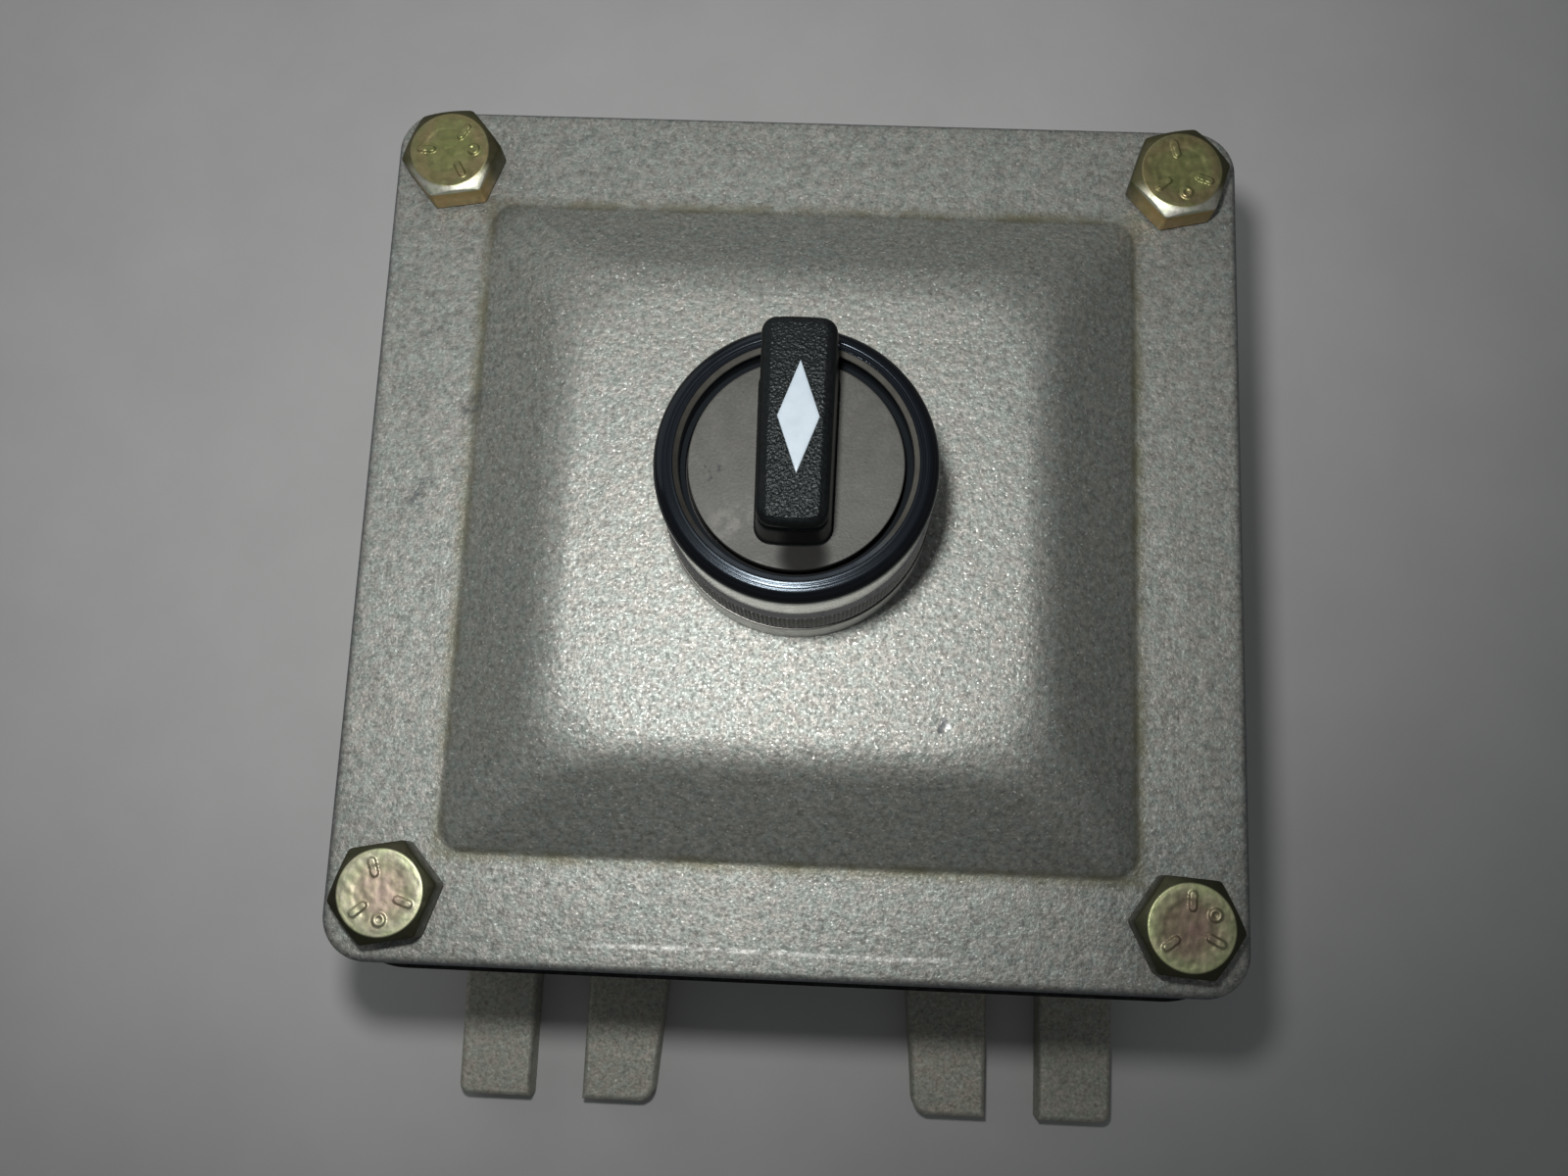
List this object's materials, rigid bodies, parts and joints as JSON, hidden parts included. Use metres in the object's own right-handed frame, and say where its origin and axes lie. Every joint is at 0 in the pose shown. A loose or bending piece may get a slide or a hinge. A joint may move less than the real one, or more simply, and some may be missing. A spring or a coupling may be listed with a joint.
{
  "type": "selector switch box",
  "caption": "Cast aluminium switch box with a bolted domed cover, a rotary selector lever that moves two sprung contact bridges, and slotted feet for a flat surface.",
  "frame": {"origin": "centre of the box's back face, the face that lies on the mounting surface", "axes": "+Z out through the cover along the lever's axis; +Y the way the lever points at rest, away from the conduit entry; +X to the right of someone facing the cover"},
  "size_m": [0.1416, 0.195, 0.1151],
  "materials": {
    "cast_box": "matte",
    "cast_cover": "satin",
    "gasket_rubber": "matte",
    "zinc_bolt": "satin",
    "nickel": "satin",
    "black_enamel": "gloss",
    "die_cast": "satin",
    "bronze": "satin",
    "steel": "satin",
    "brass": "satin",
    "phenolic": "matte",
    "cam_plastic": "satin",
    "lever_plastic": "satin",
    "white_plastic": "satin",
    "dial": "matte"
  },
  "bodies": {
    "root": {"box_body": "cast_box", "cover_gasket": "gasket_rubber", "cover": "cast_cover", "cover_bolts": "zinc_bolt", "earth_screw": "brass", "panel_seal": "gasket_rubber", "trim_collar": "nickel", "ring_nut": "nickel", "bezel_ring": "black_enamel", "operator_body": "die_cast", "bearing_bush": "bronze", "stop_pin": "steel", "index_spring": "steel", "block_housing": "phenolic", "block_base": "phenolic", "block_screws": "steel", "fixed_contacts": "brass", "terminal_clamps": "steel", "terminal_screws": "steel", "left_return_spring": "steel", "right_return_spring": "steel"},
    "selector": {"lever_knob": "lever_plastic", "pointer_inlay": "white_plastic", "dial_disc": "dial", "knob_cross_pin": "steel", "spindle": "steel", "shaft_oring": "gasket_rubber", "spindle_clip": "steel", "index_wheel": "steel", "selector_cam": "cam_plastic", "cam_screw": "steel"},
    "left_plunger": {"left_plunger": "cam_plastic", "left_contact_bridge": "brass"},
    "right_plunger": {"right_plunger": "cam_plastic", "right_contact_bridge": "brass"}
  },
  "joints": [
    {"name": "selector_turn", "type": "hinge", "parent": "root", "child": "selector", "pos_m": [0, 0, 0.104], "axis": [0, 0, 1], "range_deg": [-45, 45], "deforming": ["index_spring"]},
    {"name": "left_plunger_slide", "type": "slide", "parent": "root", "child": "left_plunger", "axis": [0, 0, 1], "range_m": [-0.0015, 0.0015], "deforming": ["left_return_spring"]},
    {"name": "right_plunger_slide", "type": "slide", "parent": "root", "child": "right_plunger", "axis": [0, 0, 1], "range_m": [-0.0015, 0.0015], "deforming": ["right_return_spring"]}
  ],
  "couplings": [
    {"joint": "left_plunger_slide", "follows": "selector_turn", "m_per_rad": 0.0019098},
    {"joint": "right_plunger_slide", "follows": "selector_turn", "m_per_rad": -0.0019098}
  ]
}
